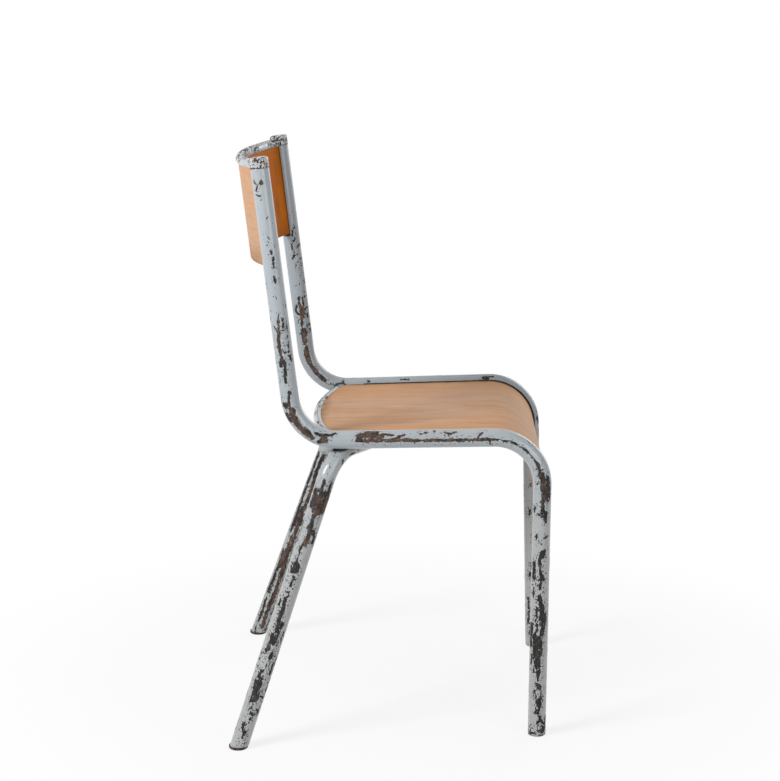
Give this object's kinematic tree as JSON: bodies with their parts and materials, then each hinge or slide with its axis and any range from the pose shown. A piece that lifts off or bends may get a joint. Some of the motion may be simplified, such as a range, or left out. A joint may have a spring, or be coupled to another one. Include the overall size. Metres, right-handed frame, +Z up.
{
  "type": "stacking chair",
  "caption": "Weathered school chair: bent steel tube frame in chipped pale blue-grey paint, with a plywood seat, front apron and curved backrest gripped in slit tubes.",
  "frame": {"origin": "on the floor under the middle of the chair", "axes": "+Z up, -Y the way the chair faces, +X to the left of a person who sits on it"},
  "size_m": [0.5027, 0.4689, 0.8105],
  "materials": {
    "paint": "satin pale blue-grey paint, chipped to rust and dark steel",
    "seat_wood": "varnished plywood, worn and sun-bleached",
    "back_wood": "varnished plywood, orange-brown where the varnish is whole",
    "cap": "worn paint, chipped to rust",
    "foot": "worn matte plastic, painted over in front",
    "weld": "weld fillets under the same paint"
  },
  "bodies": {
    "root": {"right_side_frame": "paint", "left_side_frame": "paint", "rear_leg_hoop": "paint", "seat_panel": "seat_wood", "backrest_panel": "back_wood", "seat_edge_tube": "paint", "top_rail": "paint", "right_post_cap": "cap", "left_post_cap": "cap", "right_front_foot": "foot", "left_front_foot": "foot", "right_rear_foot": "foot", "left_rear_foot": "foot", "weld_beads": "weld"}
  },
  "joints": []
}
